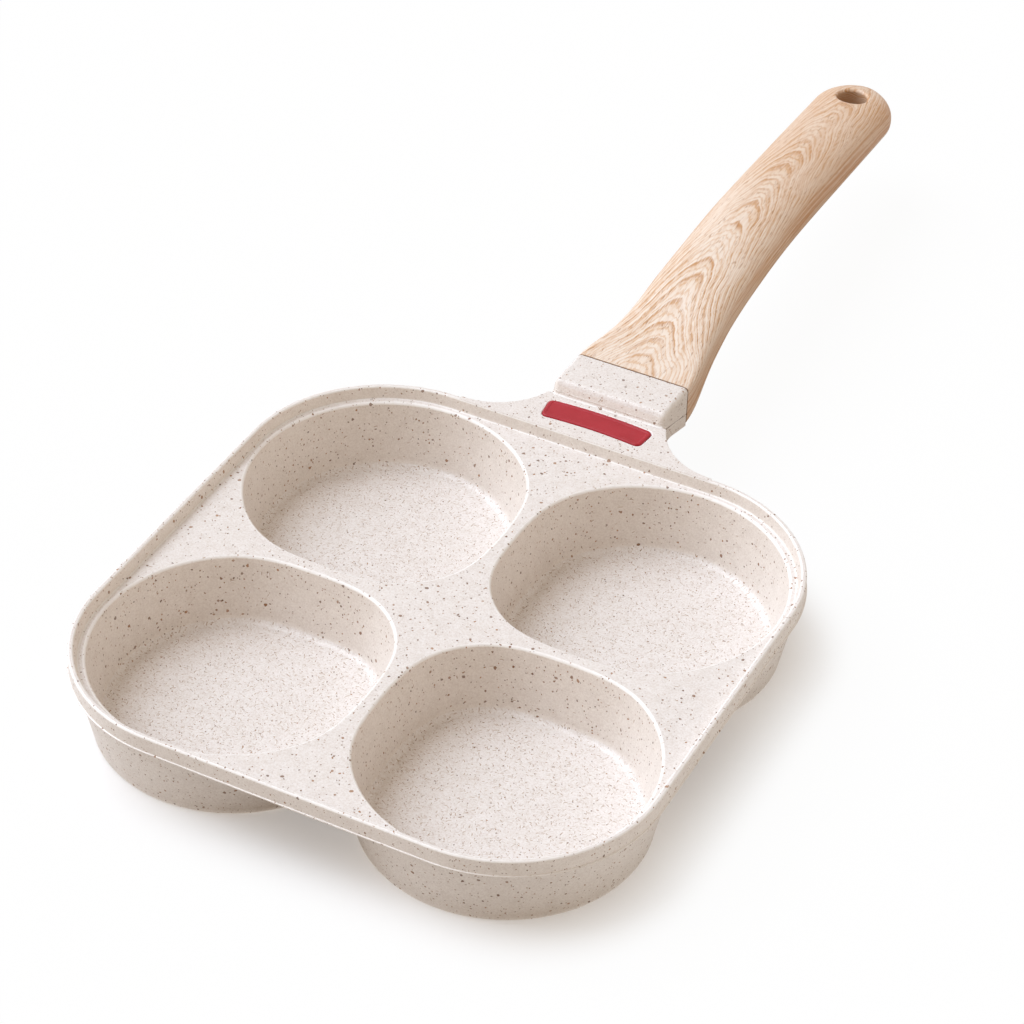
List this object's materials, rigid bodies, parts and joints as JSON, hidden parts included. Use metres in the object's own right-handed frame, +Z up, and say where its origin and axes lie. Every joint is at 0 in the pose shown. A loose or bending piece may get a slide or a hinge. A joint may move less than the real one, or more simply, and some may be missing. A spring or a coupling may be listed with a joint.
{
  "type": "egg pan",
  "caption": "Square egg pan with round cups under one low rim, a speckled coating, a wood-grain handle on a raised block and a red inlay on the neck.",
  "frame": {"origin": "on the table under the middle of the whole outline, handle included", "axes": "+Z up, +Y from the pan towards the end of the handle, +X to the right seen from the pan's front"},
  "size_m": [0.195, 0.432, 0.0465],
  "materials": {
    "coating": "cast aluminium under a matte cream coating with brown specks",
    "wood": "satin light wood grain",
    "silicone": "satin dark red",
    "steel": "bright zinc",
    "brass": "machined"
  },
  "bodies": {
    "root": {"pan_body": "coating", "handle_cover": "coating", "handle_grip": "wood", "heat_patch": "silicone", "clamp_screw_left": "steel", "lock_washer_left": "steel", "thread_insert_left": "brass", "clamp_screw_right": "steel", "lock_washer_right": "steel", "thread_insert_right": "brass"}
  },
  "joints": []
}
